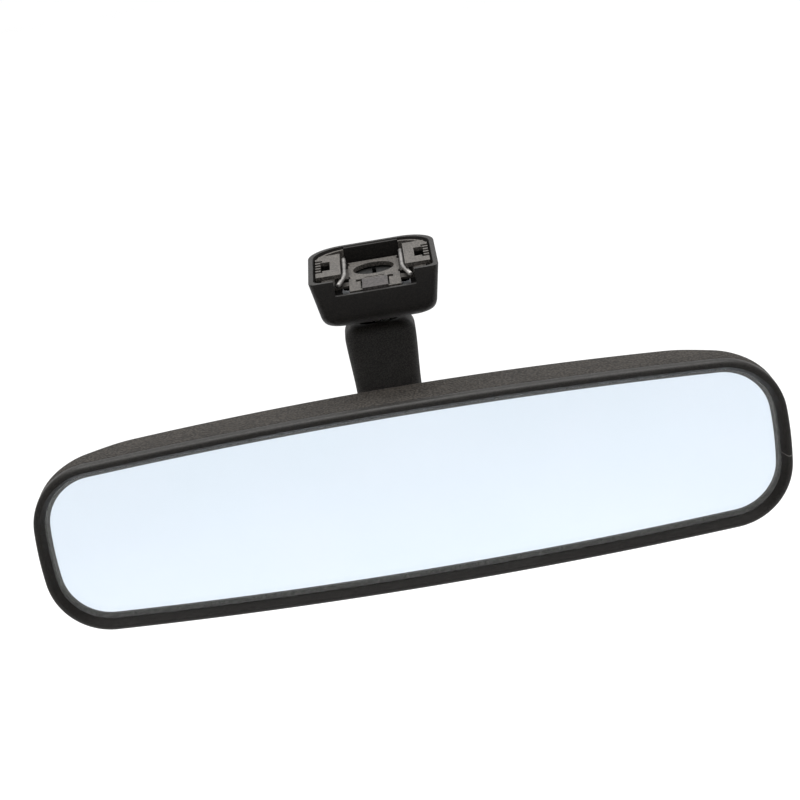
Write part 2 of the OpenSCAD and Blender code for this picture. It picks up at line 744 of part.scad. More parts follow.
base_cover();
base_insert();
latch_tongue();
retaining_wire();
spring_washer();
base_socket();
base_socket_screws();
base_pressure_cup();
base_ball_liner();
upper_ball_stud();
arm_core();
arm_front_cover();
arm_rear_cover();
arm_cover_screws();
lower_ball_stud();
stud_nut();
head_ball_liner();
head_pressure_cup();
head_socket();
head_socket_screws();
pressure_spring();
spring_cap();
housing_collar();
head_housing();
bezel_trim();
mirror_glass();
silver_coating();
backing_pad();
glass_carrier();
carrier_screws();
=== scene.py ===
"""Interior rearview mirror: smooth surfaces, materials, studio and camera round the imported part."""

from math import acos, atan2, cos, hypot, pi, radians, sin, sqrt

import bmesh
import bpy
from mathutils import Matrix, Vector


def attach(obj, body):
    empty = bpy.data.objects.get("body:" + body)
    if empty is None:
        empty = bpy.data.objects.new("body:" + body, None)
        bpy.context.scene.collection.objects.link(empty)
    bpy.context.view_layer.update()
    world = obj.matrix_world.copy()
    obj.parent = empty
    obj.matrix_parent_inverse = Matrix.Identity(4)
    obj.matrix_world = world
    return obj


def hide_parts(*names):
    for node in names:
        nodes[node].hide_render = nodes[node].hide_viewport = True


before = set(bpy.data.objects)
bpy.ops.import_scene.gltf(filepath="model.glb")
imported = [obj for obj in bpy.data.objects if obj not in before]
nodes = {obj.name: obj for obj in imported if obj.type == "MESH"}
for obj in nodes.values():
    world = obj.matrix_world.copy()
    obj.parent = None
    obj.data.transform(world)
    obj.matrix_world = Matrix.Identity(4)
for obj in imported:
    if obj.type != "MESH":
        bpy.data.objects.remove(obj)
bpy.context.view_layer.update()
MM = 0.001

# Head, in millimetres: centre of the trim's front plane, outline, depths
HEAD = Vector((1.4, -58.3, -64.0))
HALF_W = 126.0
HALF_H = 32.8
EDGE_RISE = 4.5
CORNER_R = 21.7
END_R = 126.0
TOP_R = (HALF_W**2 + EDGE_RISE**2) / (2 * EDGE_RISE)
TOP_CZ = HALF_H - TOP_R
END_CX = HALF_W - END_R
WALL_DEPTH = 19.5
WALL_DROP = 3.5
HEAD_DEPTH = 32.0
DEPTH_DROP = 8.0
END_WALL_DEPTH = 12
END_FALL_START = 90
END_FALL_RUN = 28
SHELL_T = 1.9
SHELL_INSET = 0.2
DOME_INSET = 20.0
DOME_EDGE = 1 - DOME_INSET / HALF_H
DOME_STEPS = 26
STEM_OPENING_R = 11.2

# Trim, glass and silver, in millimetres: insets from the outline, depths behind the trim's front
TRIM_ROUND = 2
LIP_START = (3.62, 2.6)
LIP_INSET = 3.66
GLASS_FRONT = 2.72
GLASS_BACK = 5.7
GLASS_EDGE = 0.15
GLASS_INSET = 3.0
SILVER_FRONT = 5.72
SILVER_BACK = 5.9
SILVER_INSET = 5.2
BAND_OUTER = 3.1
BAND_MIDDLE = 4.25
BAND_GAP = 0.02
JOINT_Z = -6.8
JOINT_BOW = 0.5
JOINT_SLANT = 0.9
JOINT_HALF_W = 0.13
JOINT_RISE = 0.04
JOINT_SINK = 0.08

# Arm, in millimetres
ARM_TOP = -18.1
ARM_DX = -1.4
ARM_BEND_END = -60.0
ARM_LOW_Y = -11.7
ARM_LOW_Z = -64.0
ARM_ROUND = 5.0
ARM_CORNER_R = 4.5
ARM_TOP_HALF_W = 12.4
ARM_WAIST_HALF_W = 11.3
ARM_LOW_HALF_W = 11.5
ARM_TOP_HALF_T = 9.0
ARM_LOW_HALF_T = 6.6
WAIST_START = ARM_TOP - 3
WAIST_RUN = 22
WIDEN_START = -46
WIDEN_RUN = 16
TOOL_LOW_Z = -82
COVER_T = 1.6
PARTING_BACK = 2.0
DISH_R = 8.4
DISH_OUTER_R = 9.7
STUD_HOLE_R = 3.6
COVER_SCREW_ZS = (-42.0, -55.0)
SCREW_HOLE_R = 1.7
SCREW_HEAD_R = 3.1
SCREW_SINK = 0.9
UPPER_BALL = Vector((0, 0, -11.5))
LOWER_BALL = Vector((0, -34.3, -64.0))

# Base, in millimetres
BASE_W = 44.0
BASE_FRONT = 28.8
BASE_BACK = 16.2
RIM_Z = 5.3
BASE_LOW = -12.3
BASE_FLOOR = -9.9
BASE_H = 17.6
FRONT_CORNER_R = 2.5
BACK_CORNER_R = 12
LIP_HALF_W = 9.5
LIP_LOW = -0.4
LIP_TOP = RIM_Z - 0.4
NOTCH_HW = 13.7
BOSS_R = 7.2
WIRE_R = 0.8
WIRE_BEND = 1.8

# Looks: painted shade in the grain's valleys, and the scale and depth (in metres) of the lines in metal
PAINTED_VALLEY_SHADE = 0.35
SCRATCH_SCALE = (2500, 240, 240)
SCRATCH_DEPTH = 0.000004

# Studio, in metres, watts and degrees, the lens in millimetres; the camera was fitted to the photo
FLOOR_SIZE = 9.0
FLOOR_DEPTH = 0.6
WORLD_STRENGTH = 1.03
LAMP_POWER = 20
CAMERA_AZIMUTH = 0.798
CAMERA_ELEVATION = 19.0
CAMERA_ROLL = -9.693
CAMERA_DISTANCE = 0.7281
CAMERA_TARGET = Vector((0.002153, -0.0583, -0.029258))
CAMERA_LENS = 100.91


# ---- mesh helpers ----


def mix(a, b, t):
    return a + (b - a) * t


def smooth(t):
    c = min(max(t, 0.0), 1.0)
    return c * c * (3 - 2 * c)


def new_mesh(name, verts, faces, at=Vector((0, 0, 0))):
    """Mesh object from points in millimetres, moved by at."""
    mesh = bpy.data.meshes.new(name)
    mesh.from_pydata([(Vector(v) + at) * MM for v in verts], [], faces)
    mesh.update()
    made = bpy.data.objects.new(name, mesh)
    bpy.context.scene.collection.objects.link(made)
    return made


def tidy_normals(piece):
    work = bmesh.new()
    work.from_mesh(piece.data)
    bmesh.ops.recalc_face_normals(work, faces=work.faces)
    work.to_mesh(piece.data)
    work.free()


def shade(piece, angle=35):
    """Smooth shading that keeps edges sharper than angle."""
    piece.data.shade_smooth()
    piece.data.set_sharp_from_angle(angle=radians(angle))


def loft(name, rings, closed=False, at=Vector((0, 0, 0))):
    """Skin through rings of points; closed joins the last ring to the first, else both ends are filled."""
    n = len(rings[0])
    m = len(rings)
    verts = [p for r in rings for p in r]
    faces = []
    for i in range(m if closed else m - 1):
        j = (i + 1) % m
        for k in range(n):
            l = (k + 1) % n
            faces.append((i * n + k, j * n + k, j * n + l, i * n + l))
    if not closed:
        faces.append(tuple(range(n)))
        faces.append(tuple((m - 1) * n + k for k in reversed(range(n))))
    made = new_mesh(name, verts, faces, at)
    tidy_normals(made)
    return made


def apply_modifiers(piece):
    depsgraph = bpy.context.evaluated_depsgraph_get()
    source = piece.evaluated_get(depsgraph)
    done = bpy.data.meshes.new_from_object(source, preserve_all_data_layers=True, depsgraph=depsgraph)
    old = piece.data
    piece.modifiers.clear()
    piece.data = done
    bpy.data.meshes.remove(old)


def cut(piece, tools, operation="DIFFERENCE"):
    """Boolean with each tool in turn; the tools are used up."""
    for tool in tools:
        step = piece.modifiers.new("cut", "BOOLEAN")
        step.operation = operation
        step.solver = "EXACT"
        step.object = tool
        apply_modifiers(piece)
        bpy.data.objects.remove(tool)


def box_tool(low, high):
    a, b = Vector(low), Vector(high)
    verts = [(x, y, z) for x in (a.x, b.x) for y in (a.y, b.y) for z in (a.z, b.z)]
    faces = [(0, 1, 3, 2), (4, 6, 7, 5), (0, 4, 5, 1), (2, 3, 7, 6), (0, 2, 6, 4), (1, 5, 7, 3)]
    made = new_mesh("tool", verts, faces)
    tidy_normals(made)
    return made


def rod_tool(start, end, radius, sides=96):
    """Straight round tool between two points."""
    a, b = Vector(start), Vector(end)
    along = (b - a).normalized()
    u = along.orthogonal().normalized()
    v = along.cross(u)
    rings = []
    for p in (a, b):
        turn = [2 * pi * k / sides for k in range(sides)]
        rings.append([p + radius * (cos(t) * u + sin(t) * v) for t in turn])
    return loft("tool", rings)


def clean_copy(node, name):
    """Copy of a CAD mesh with its flat triangles merged into whole faces."""
    made = bpy.data.objects.new(name, nodes[node].data.copy())
    bpy.context.scene.collection.objects.link(made)
    work = bmesh.new()
    work.from_mesh(made.data)
    bmesh.ops.remove_doubles(work, verts=work.verts, dist=1e-6)
    edges = list(work.edges)
    verts = list(work.verts)
    bmesh.ops.dissolve_limit(work, angle_limit=radians(0.6), verts=verts, edges=edges)
    work.to_mesh(made.data)
    work.free()
    made.data.materials.clear()
    return made


def soften(piece, width, angle):
    """Rounds the edges sharper than angle; width is in millimetres."""
    step = piece.modifiers.new("edges", "BEVEL")
    step.width = width * MM
    step.segments = 3
    step.limit_method = "ANGLE"
    step.angle_limit = radians(angle)
    step.use_clamp_overlap = True
    apply_modifiers(piece)


def even_normals(piece):
    """Weights the shading normals by face area, so that large faces lead."""
    step = piece.modifiers.new("normals", "WEIGHTED_NORMAL")
    step.weight = 80
    step.keep_sharp = True
    apply_modifiers(piece)


# ---- head outline ----


def corner_centre():
    d1 = TOP_R - CORNER_R
    d2 = END_R - CORNER_R
    span = hypot(END_CX, TOP_CZ)
    a = (d1 * d1 - d2 * d2 + span * span) / (2 * span)
    h = sqrt(d1 * d1 - a * a)
    ux, uz = END_CX / span, -TOP_CZ / span
    return a * ux + h * uz, TOP_CZ + a * uz - h * ux


def arc(cx, cz, r, a0, a1, n, first=1):
    steps = [mix(a0, a1, i / n) for i in range(first, n + 1)]
    return [(cx + r * cos(a), cz + r * sin(a)) for a in steps]


N_TOP = 40
N_CORNER = 30
N_END = 14


def quarter(inset):
    """Quarter of the outline, from the top middle to the right end, drawn in by inset."""
    fx, fz = corner_centre()
    a1 = atan2(fz - TOP_CZ, fx)
    a2 = atan2(fz, fx - END_CX)
    return (
        arc(0, TOP_CZ, TOP_R - inset, pi / 2, a1, N_TOP, 0)
        + arc(fx, fz, CORNER_R - inset, a1, a2, N_CORNER)
        + arc(END_CX, 0, END_R - inset, a2, 0, N_END)
    )


QUARTER_N = N_TOP + N_CORNER + N_END
LOOP_N = 4 * QUARTER_N


def outline(inset):
    """Whole outline, clockwise as seen from the front, from the top middle."""
    q = quarter(inset)
    right_low = [(q[i][0], -q[i][1]) for i in range(QUARTER_N - 1, -1, -1)]
    left_low = [(-q[i][0], -q[i][1]) for i in range(1, QUARTER_N + 1)]
    left_top = [(-q[i][0], q[i][1]) for i in range(QUARTER_N - 1, 0, -1)]
    return q + right_low + left_low + left_top


def ring(inset, y):
    return [(x, y, z) for x, z in outline(inset)]


# ---- head housing ----


def dome_y(x, c, t):
    """Depth at x: c is 1 at the wall and 0 at the crown, and both fall off towards the ends."""
    fall = (WALL_DEPTH - END_WALL_DEPTH) * smooth((abs(x) - END_FALL_START) / END_FALL_RUN)
    start = WALL_DEPTH - WALL_DROP * (x / HALF_W) ** 2 - fall
    end = HEAD_DEPTH - DEPTH_DROP * (x / HALF_W) ** 2 - fall - t
    return mix(start, end, sqrt(max(0.0, 1 - c * c)))


def dome_ring(angle, t):
    c = cos(angle)
    inset = min(HALF_H * (1 - c) + t + SHELL_INSET, DOME_INSET + t)
    return [(x, dome_y(x, c, t), z) for x, z in outline(inset)]


def dome_row(step, t):
    q = quarter(min(DOME_INSET + t, CORNER_R - 1))
    reach = q[QUARTER_N][0]
    row = []
    for i in range(-QUARTER_N + 1, QUARTER_N):
        x, z = q[abs(i)]
        f = step**4
        g = (x / reach) ** 8
        c = DOME_EDGE * (f + g - f * g) ** 0.25
        row.append((x if i >= 0 else -x, dome_y(x, c, t), step * z))
    return row


def dome_vessel(t, front_edge):
    """Closed vessel whose surface is drawn inward by t; front_edge gives the rings at its front."""
    last = acos(DOME_EDGE)
    rings = list(front_edge)
    rings += [dome_ring(last * i / DOME_STEPS, t) for i in range(DOME_STEPS + 1)]
    m = len(rings)
    steps = [1 - 2 * i / DOME_STEPS for i in range(1, DOME_STEPS)]
    rows = [dome_row(s, t) for s in steps]
    w = 2 * QUARTER_N - 1
    verts = [p for r in rings for p in r] + [p for r in rows for p in r]
    faces = [tuple(range(LOOP_N))]
    for i in range(m - 1):
        for k in range(LOOP_N):
            a, b = i * LOOP_N + k, i * LOOP_N + (k + 1) % LOOP_N
            faces.append((a, a + LOOP_N, b + LOOP_N, b))
    base = (m - 1) * LOOP_N
    r0 = m * LOOP_N
    span = range(-QUARTER_N + 1, QUARTER_N)
    top = [base + i % LOOP_N for i in span]
    low = [base + (2 * QUARTER_N - i) % LOOP_N for i in span]
    grid = [top] + [[r0 + r * w + i for i in range(w)] for r in range(len(rows))] + [low]
    for r in range(len(rows) + 1):
        for i in range(w - 1):
            faces.append((grid[r][i], grid[r + 1][i], grid[r + 1][i + 1], grid[r][i + 1]))
        faces.append((grid[r][w - 1], grid[r + 1][w - 1], base + QUARTER_N))
        faces.append((grid[r + 1][0], grid[r][0], base + 3 * QUARTER_N))
    made = new_mesh("vessel", verts, faces, HEAD)
    tidy_normals(made)
    return made


def head_housing():
    """Domed shell with a rolled front edge and the round opening for the stem."""
    roll = [(0.62, 4.7), (0.42, 4.75), (0.27, 4.88), (SHELL_INSET, 5.1)]
    outer = dome_vessel(0, [ring(i, y) for i, y in roll])
    inner = dome_vessel(SHELL_T, [ring(SHELL_T + SHELL_INSET, 3.0)])
    cut(outer, [inner])
    ball = LOWER_BALL
    cut(outer, [rod_tool(ball + Vector((0, -6, 0)), ball + Vector((0, 12, 0)), STEM_OPENING_R)])
    outer.name = "shell_smooth"
    shade(outer, 40)
    return outer


# ---- trim ----


def trim_ring_section():
    """Section of the trim as (inset, depth), rounded at its outer front edge and at its lip."""
    turn = [radians(6 * i) for i in range(16)]
    outer = [(TRIM_ROUND * (1 - cos(a)), TRIM_ROUND * (1 - sin(a))) for a in turn]
    slope = [mix(2.0, 3.5, i / 6) for i in range(1, 7)]
    inner = [(s, 0.05 + 2.45 * ((s - TRIM_ROUND) / 1.66) ** 1.15) for s in slope]
    lip = [LIP_START, (LIP_INSET, 2.66), (LIP_INSET, GLASS_FRONT), (2.8, GLASS_FRONT)]
    lip += [(2.8, 8.32), (2.2, 8.32), (2.2, 4.24)]
    back = [(0.35, 4.24), (0.1, 4.14), (0.0, 3.9), (0.0, 3.0)]
    return outer + inner + lip + back


def bezel_trim():
    """Trim strip swept round the outline as one closed ring."""
    rings = [ring(i, y) for i, y in trim_ring_section()]
    made = loft("trim_smooth", rings, closed=True, at=HEAD)
    shade(made, 40)
    return made


def glass_plate():
    """Glass with polished edges, a hair thinner than the part's, so that it and the silver share no plane."""
    edge = GLASS_INSET + GLASS_EDGE
    section = [(edge, GLASS_BACK), (GLASS_INSET, GLASS_BACK - GLASS_EDGE)]
    section += [(GLASS_INSET, GLASS_FRONT + GLASS_EDGE), (edge, GLASS_FRONT)]
    made = loft("glass_smooth", [ring(i, y) for i, y in section], at=HEAD)
    shade(made, 30)
    return made


def silver_plate():
    """Silver layer behind the glass."""
    section = [(SILVER_INSET, SILVER_FRONT), (SILVER_INSET, SILVER_BACK)]
    made = loft("silver_smooth", [ring(i, y) for i, y in section], at=HEAD)
    shade(made, 30)
    return made


def border_band(name, outer, inner):
    """Flat band round the silver, at the same depth, seen through the glass."""
    front = [(outer, SILVER_FRONT), (inner, SILVER_FRONT)]
    section = front + [(inner, SILVER_BACK), (outer, SILVER_BACK)]
    made = loft(name, [ring(i, y) for i, y in section], closed=True, at=HEAD)
    shade(made, 30)
    return made


def trim_joint():
    """Fine raised line where the ends of the trim strip meet, at the right end of the head."""
    rings = []
    front = [p for p in trim_ring_section() if p[1] < LIP_START[1] and p[0] <= LIP_START[0]]
    across = [p for p in front if not (p[0] < 0.4 and p[1] > 1.2)]
    for i, (inset, y) in enumerate(across):
        t = i / (len(across) - 1)
        z = JOINT_Z - JOINT_BOW * sin(pi * t) + JOINT_SLANT * t
        x = END_CX + sqrt((END_R - inset) ** 2 - z * z)
        corners = ((-JOINT_HALF_W, 0.0), (0.0, -JOINT_RISE), (JOINT_HALF_W, 0.0), (0.0, JOINT_SINK))
        rings.append([(x, y + d, z + w) for w, d in corners])
    made = loft("trim_joint", rings, at=HEAD)
    shade(made, 50)
    return made


# ---- arm ----


def arm_s(z):
    """How far down the bend z is: 0 at the top, 1 where the arm runs straight."""
    return smooth((ARM_TOP - z) / (ARM_TOP - ARM_BEND_END))


def arm_y(z):
    """Depth of the arm's middle line."""
    return ARM_LOW_Y * arm_s(z)


def arm_ht(z):
    """Half thickness."""
    return mix(ARM_TOP_HALF_T, ARM_LOW_HALF_T, arm_s(z))


def arm_hw(z):
    """Half width: it narrows to a waist below the top and widens a little towards the bottom."""
    neck = mix(ARM_TOP_HALF_W, ARM_WAIST_HALF_W, smooth((WAIST_START - z) / WAIST_RUN))
    return mix(neck, ARM_LOW_HALF_W, smooth((WIDEN_START - z) / WIDEN_RUN))


def arm_section(z, w, t, c):
    """Rounded rectangle about the arm's middle line."""
    r = min(c, w - 0.2, t - 0.2)
    points = []
    for sx, sy, a0 in ((1, 1, 0), (-1, 1, 90), (-1, -1, 180), (1, -1, 270)):
        for i in range(11):
            a = radians(a0 + 9 * i)
            x = ARM_DX + sx * (w - r) + r * cos(a)
            y = arm_y(z) + sy * (t - r) + r * sin(a)
            points.append((x, y, z))
    return points


def arm_body(inset, name):
    """Whole outside of the arm, drawn inward by inset: rounded top, bend, straight part, round bottom."""
    rings = []
    for i in range(11):
        a = radians(90 - 8.2 * i)
        z = ARM_TOP - ARM_ROUND * (1 - sin(a))
        trim = ARM_ROUND * (1 - cos(a))
        w = arm_hw(z) - trim - inset
        rings.append(arm_section(z - inset, w, arm_ht(z) - 0.6 * trim - inset, ARM_CORNER_R - inset))
    count = 110
    for i in range(count + 1):
        z = mix(ARM_TOP - ARM_ROUND, ARM_LOW_Z + 1, i / count)
        rings.append(arm_section(z - inset, arm_hw(z) - inset, arm_ht(z) - inset, ARM_CORNER_R - inset))
    for i in range(15):
        a = radians(80 * i / 14)
        reach = arm_hw(ARM_LOW_Z) - inset
        z = ARM_LOW_Z - reach * sin(a)
        t = arm_ht(ARM_LOW_Z) - inset - 2.4 * (1 - cos(a))
        rings.append(arm_section(z, reach * cos(a), t, ARM_CORNER_R - inset))
    return loft(name, rings)


def parting_tool(side, gap):
    """Everything on the far side of the parting line, so that cutting it away leaves one cover."""
    zs = [mix(ARM_TOP + 5, TOOL_LOW_Z, i / 40) for i in range(41)]
    line = [(arm_y(z) + PARTING_BACK + side * gap, z) for z in zs]
    low_far = (arm_y(ARM_LOW_Z) + PARTING_BACK - side * 60, TOOL_LOW_Z)
    far = [low_far, (PARTING_BACK - side * 60, ARM_TOP + 5)]
    profile = line + far
    rings = [[(x, y, z) for y, z in profile] for x in (-20, 20)]
    return loft("tool", rings)


def ball_tool(centre, radius):
    """Round tool for the bowl around the upper ball."""
    rings = []
    for i in range(1, 48):
        a = pi * i / 48
        turn = [2 * pi * k / 96 for k in range(96)]
        rings.append([(radius * sin(a) * cos(t), radius * sin(a) * sin(t), radius * cos(a)) for t in turn])
    return loft("tool", rings, at=centre)


def arm_cover(side, name):
    """One cover of the arm: hollow, dished for the upper ball, with small rounded edges."""
    made = arm_body(0, name)
    hollow = arm_body(COVER_T, "tool")
    bowl = ball_tool(UPPER_BALL, DISH_OUTER_R)
    cut(hollow, [bowl])
    cut(made, [hollow, parting_tool(side, 0.05), ball_tool(UPPER_BALL, DISH_R)])
    low = LOWER_BALL
    cut(made, [rod_tool(UPPER_BALL - Vector((0, 0, 13)), UPPER_BALL - Vector((0, 0, 5)), STUD_HOLE_R)])
    cut(made, [rod_tool(low, low + Vector((0, 20, 0)), STUD_HOLE_R)])
    if side > 0:
        for z in COVER_SCREW_ZS:
            back = arm_y(z) + arm_ht(z)
            cut(made, [rod_tool((0, back - 4, z), (0, back + 4, z), SCREW_HOLE_R, 48)])
            cut(made, [rod_tool((0, back - SCREW_SINK, z), (0, back + 4, z), SCREW_HEAD_R, 64)])
    soften(made, 0.22, angle=50)
    shade(made, 38)
    even_normals(made)
    return made


# ---- base ----


def base_plan(inset):
    """Outline of the base, drawn in by inset: rounded back corners, nearly square front ones."""
    w = BASE_W / 2 - inset
    f = -BASE_FRONT + inset
    b = BASE_BACK - inset
    rf = FRONT_CORNER_R + 0.3 * inset
    rb = BACK_CORNER_R - 0.5 * inset
    return (
        arc(w - rb, b - rb, rb, pi / 2, 0, 24, 0)
        + arc(w - rf, f + rf, rf, 0, -pi / 2, 10, 0)
        + arc(rf - w, f + rf, rf, -pi / 2, -pi, 10, 0)
        + arc(rb - w, b - rb, rb, pi, pi / 2, 24, 0)
    )


def base_side():
    """Side of the base as (depth below the rim, inset), from the rim down."""
    lower = [(13, 2.2), (15, 2.9), (16.4, 4.0), (17.3, 5.6), (BASE_H, 7.2)]
    side = [(13 * i / 8, 2.2 * i / 8) for i in range(9)]
    fine = []
    for i in range(len(lower) - 1):
        a, b = lower[i], lower[i + 1]
        before = lower[i - 1] if i else (11.0, 1.86)
        after = lower[i + 2] if i + 2 < len(lower) else (17.65, 8.8)
        for k in range(1, 6):
            t = k / 5
            point = []
            for j in (0, 1):
                m0 = (b[j] - before[j]) / 2
                m1 = (after[j] - a[j]) / 2
                h = (2 * t**3 - 3 * t**2 + 1) * a[j] + (t**3 - 2 * t**2 + t) * m0
                point.append(h + (3 * t**2 - 2 * t**3) * b[j] + (t**3 - t**2) * m1)
            fine.append((min(point[0], BASE_H), point[1]))
    return side + fine


def prism(plan, z0, z1):
    return loft("tool", [[(x, y, z) for x, y in plan] for z in (z0, z1)])


def base_cover():
    """Open box with softly rounded bottom edges, a notch in its front wall and a thick lip at the back."""
    rings = [[(x, y, RIM_Z - d) for x, y in base_plan(i)] for d, i in base_side()]
    made = loft("base_cover_smooth", rings)
    cavity = [(-1, 1.45), (13, 3.8), (RIM_Z - BASE_FLOOR, 5.1)]
    cut(made, [loft("tool", [[(x, y, RIM_Z - d) for x, y in base_plan(i)] for d, i in cavity])])
    lip = prism(base_plan(1), LIP_LOW, LIP_TOP)
    keep = box_tool((-LIP_HALF_W, BASE_BACK - 3, LIP_LOW), (LIP_HALF_W, BASE_BACK + 2, 10))
    cut(lip, [keep], "INTERSECT")
    cut(made, [lip], "UNION")
    notch = (-NOTCH_HW, -BASE_FRONT - 1, RIM_Z - 5.5), (NOTCH_HW, -BASE_FRONT + 5, RIM_Z + 4.5)
    cut(made, [box_tool(*notch)])
    cut(made, [rod_tool((0, 0, BASE_LOW - 1), (0, 0, BASE_LOW + 5), BOSS_R + 0.1)])
    soften(made, 0.28, angle=40)
    shade(made, 38)
    even_normals(made)
    return made


def bent_wire():
    """Retaining wire, round and smooth, along the same bends as the part."""
    half = [(12.3, -23.4, 2.1), (10.1, -12.6, 2.1), (10, 9.6, 2.1), (10, 12, -2.4)]
    points = [Vector(p) for p in half + [(-x, y, z) for x, y, z in reversed(half)]]
    line = [points[0]]
    for i in range(1, len(points) - 1):
        p = points[i]
        a = p + WIRE_BEND * (points[i - 1] - p).normalized()
        b = p + WIRE_BEND * (points[i + 1] - p).normalized()
        line += [a.lerp(p, t).lerp(p.lerp(b, t), t) for t in [k / 12 for k in range(13)]]
    line.append(points[-1])
    rings = []
    side = Vector((0, 0, 1))
    for i, p in enumerate(line):
        along = (line[min(i + 1, len(line) - 1)] - line[max(i - 1, 0)]).normalized()
        side = (side - side.dot(along) * along).normalized()
        other = along.cross(side)
        turn = [2 * pi * k / 24 for k in range(24)]
        if i == 0 or i == len(line) - 1:
            inward = along if i == 0 else -along
            tip = [(0.0, 0.45), (0.06, 0.62), (0.18, 0.74), (0.35, WIRE_R)]
            tip = tip if i == 0 else tip[::-1]
            for step, r in tip:
                rings.append([p + step * inward + r * (cos(t) * side + sin(t) * other) for t in turn])
        else:
            rings.append([p + WIRE_R * (cos(t) * side + sin(t) * other) for t in turn])
    made = loft("wire_smooth", rings)
    shade(made, 60)
    return made


def softened_copy(node, name, width):
    """A CAD node's own shape, cleaned and with small rounded edges."""
    made = clean_copy(node, name)
    soften(made, width, angle=32)
    shade(made, 35)
    even_normals(made)
    return made


# ---- materials ----


def start_material(name):
    mat = bpy.data.materials.new(name)
    mat.use_nodes = True
    mat.node_tree.nodes.clear()
    out = mat.node_tree.nodes.new("ShaderNodeOutputMaterial")
    shader = mat.node_tree.nodes.new("ShaderNodeBsdfPrincipled")
    mat.node_tree.links.new(shader.outputs["BSDF"], out.inputs["Surface"])
    return mat, mat.node_tree, shader


def place(tree):
    """Texture position: the point on the piece, in metres."""
    return tree.nodes.new("ShaderNodeTexCoord").outputs["Object"]


def noise(tree, where, scale, detail):
    node = tree.nodes.new("ShaderNodeTexNoise")
    node.inputs["Scale"].default_value = scale
    node.inputs["Detail"].default_value = detail
    tree.links.new(where, node.inputs["Vector"])
    return node.outputs["Fac"]


def cells(tree, where, scale):
    node = tree.nodes.new("ShaderNodeTexVoronoi")
    node.feature = "SMOOTH_F1"
    node.inputs["Scale"].default_value = scale
    node.inputs["Smoothness"].default_value = 0.6
    tree.links.new(where, node.inputs["Vector"])
    return node.outputs["Distance"]


def colour_range(tree, value, low, high):
    """Colours from low to high over the middle of value's range."""
    ramp = tree.nodes.new("ShaderNodeValToRGB")
    ramp.color_ramp.elements[0].position = 0.3
    ramp.color_ramp.elements[0].color = (*low, 1)
    ramp.color_ramp.elements[1].position = 0.7
    ramp.color_ramp.elements[1].color = (*high, 1)
    tree.links.new(value, ramp.inputs["Fac"])
    return ramp.outputs["Color"]


def number_range(tree, value, low, high, start=0.3, end=0.7):
    node = tree.nodes.new("ShaderNodeMapRange")
    node.inputs["From Min"].default_value = start
    node.inputs["From Max"].default_value = end
    node.inputs["To Min"].default_value = low
    node.inputs["To Max"].default_value = high
    tree.links.new(value, node.inputs["Value"])
    return node.outputs["Result"]


def relief(tree, shader, height, distance, below=None):
    """Bump of the given depth in metres, on top of the bump below."""
    node = tree.nodes.new("ShaderNodeBump")
    node.inputs["Strength"].default_value = 1.0
    node.inputs["Distance"].default_value = distance
    tree.links.new(height, node.inputs["Height"])
    if below is not None:
        tree.links.new(below, node.inputs["Normal"])
    tree.links.new(node.outputs["Normal"], shader.inputs["Normal"])
    return node.outputs["Normal"]


def plastic(name, low, high, rough, grain_scale, grain_depth, sheen=0.4):
    """Moulded plastic: pebble grain over fine unevenness, with painted shade darkening the grain's valleys,
    and patchy gloss.
    """
    mat, tree, shader = start_material(name)
    where = place(tree)
    grain = cells(tree, where, grain_scale)
    patches = colour_range(tree, noise(tree, where, 60, 3), low, high)
    # painted shade: the base colour is darkened towards the grain's cell edges, standing for shade in the
    # valleys
    valley_painted_shade = number_range(tree, grain, 1.0, PAINTED_VALLEY_SHADE, 0.25, 0.6)
    scale = tree.nodes.new("ShaderNodeVectorMath")
    scale.operation = "SCALE"
    tree.links.new(patches, scale.inputs[0])
    tree.links.new(valley_painted_shade, scale.inputs["Scale"])
    tree.links.new(scale.outputs["Vector"], shader.inputs["Base Color"])
    gloss = number_range(tree, noise(tree, where, 900, 2), rough[0], rough[1])
    tree.links.new(gloss, shader.inputs["Roughness"])
    shader.inputs["Specular IOR Level"].default_value = sheen
    fine = relief(tree, shader, noise(tree, where, 5200, 2), 0.00001)
    relief(tree, shader, number_range(tree, grain, 1.0, 0.0, 0.0, 0.7), grain_depth, fine)
    return mat


def metal(name, low, high, rough):
    """Metal with fine drawn lines and worn patches."""
    mat, tree, shader = start_material(name)
    where = place(tree)
    stretch = tree.nodes.new("ShaderNodeMapping")
    stretch.inputs["Scale"].default_value = SCRATCH_SCALE
    tree.links.new(where, stretch.inputs["Vector"])
    lines = noise(tree, stretch.outputs["Vector"], 1, 3)
    patches = noise(tree, where, 300, 3)
    shader.inputs["Metallic"].default_value = 1.0
    tree.links.new(colour_range(tree, patches, low, high), shader.inputs["Base Color"])
    tree.links.new(number_range(tree, patches, rough[0], rough[1]), shader.inputs["Roughness"])
    relief(tree, shader, lines, SCRATCH_DEPTH)
    return mat


def clear_glass():
    mat, tree, shader = start_material("clear_glass")
    where = place(tree)
    shader.inputs["Transmission Weight"].default_value = 1.0
    shader.inputs["IOR"].default_value = 1.5
    faint = noise(tree, where, 25, 2)
    low, high = (0.975, 0.993, 0.988), (0.985, 0.996, 0.992)
    tree.links.new(colour_range(tree, faint, low, high), shader.inputs["Base Color"])
    tree.links.new(number_range(tree, faint, 0.0, 0.004), shader.inputs["Roughness"])
    return mat


def silver():
    mat, tree, shader = start_material("silver_coat")
    where = place(tree)
    shader.inputs["Metallic"].default_value = 1.0
    faint = noise(tree, where, 18, 2)
    low, high = (0.682, 0.737, 0.822), (0.687, 0.742, 0.828)
    tree.links.new(colour_range(tree, faint, low, high), shader.inputs["Base Color"])
    tree.links.new(number_range(tree, faint, 0.01, 0.02), shader.inputs["Roughness"])
    return mat


